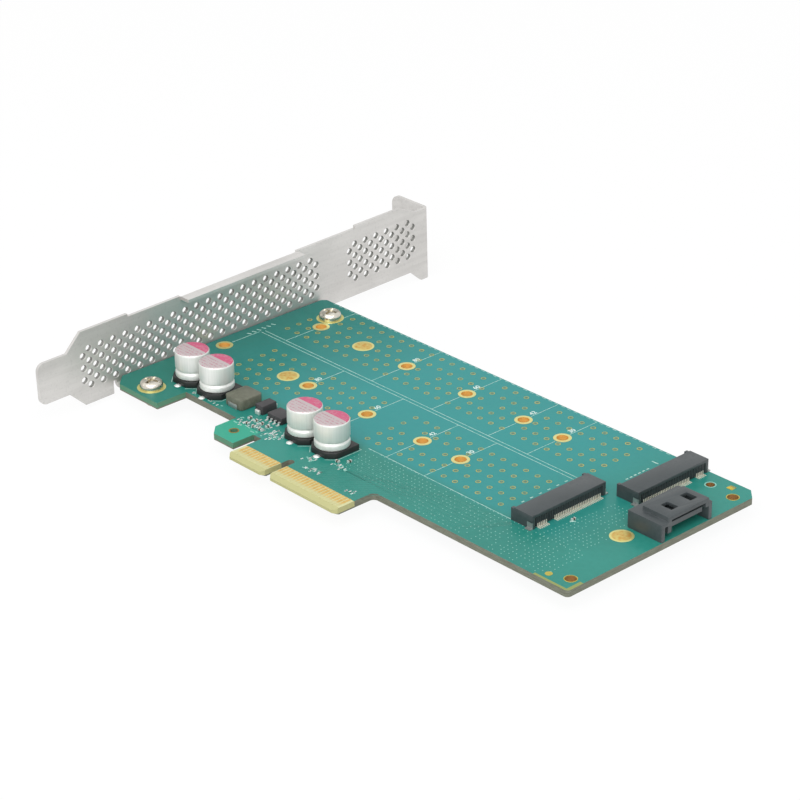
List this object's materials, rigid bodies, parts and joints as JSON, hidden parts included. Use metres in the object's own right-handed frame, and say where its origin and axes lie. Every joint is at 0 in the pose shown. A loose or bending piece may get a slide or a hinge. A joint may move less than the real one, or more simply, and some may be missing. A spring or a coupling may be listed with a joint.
{
  "type": "ssd adapter card",
  "caption": "Low-profile slot card that carries solid-state drive modules: green circuit board with edge connector, module sockets, data plug and perforated bracket.",
  "frame": {"origin": "middle of the bounding box, at its lowest point", "axes": "+X along the card away from the bracket, +Y from the edge connector to the top edge, +Z out of the component side"},
  "size_m": [0.1512, 0.1204, 0.0214],
  "materials": {
    "solder_mask": "glossy green solder mask over glass-fibre board",
    "bracket_steel": "satin nickel-plated sheet steel",
    "screw_nickel": "bright nickel plate",
    "gold": "matt immersion gold",
    "contact_gold": "gold-flashed spring contact",
    "connector_black": "black moulded connector plastic",
    "can_aluminium": "satin drawn can",
    "base_black": "black moulded base",
    "tin": "bright tin plate and solder",
    "coil_ferrite": "grey-brown pressed ferrite",
    "package_black": "black epoxy package",
    "passive_ceramic": "tan ceramic"
  },
  "bodies": {
    "root": {"circuit_board": "solder_mask", "slot_bracket": "bracket_steel", "bracket_screws": "screw_nickel", "edge_fingers_top": "gold", "edge_fingers_bottom": "gold", "standoff_rings": "gold", "gold_pads": "gold", "data_plug_housing": "connector_black", "data_plug_contacts": "contact_gold", "capacitor_cans": "can_aluminium", "capacitor_bases": "base_black", "capacitor_leads": "tin", "coil_body": "coil_ferrite", "coil_terminals": "tin", "diode_body": "package_black", "diode_terminals": "tin", "regulator_body": "package_black", "regulator_leads": "tin", "passive_bodies": "passive_ceramic", "passive_ends": "tin", "front_socket_housing": "connector_black", "front_socket_upper_contacts": "contact_gold", "front_socket_lower_contacts": "contact_gold", "front_socket_hold_downs": "tin", "back_socket_housing": "connector_black", "back_socket_upper_contacts": "contact_gold", "back_socket_lower_contacts": "contact_gold", "back_socket_hold_downs": "tin"}
  },
  "joints": []
}
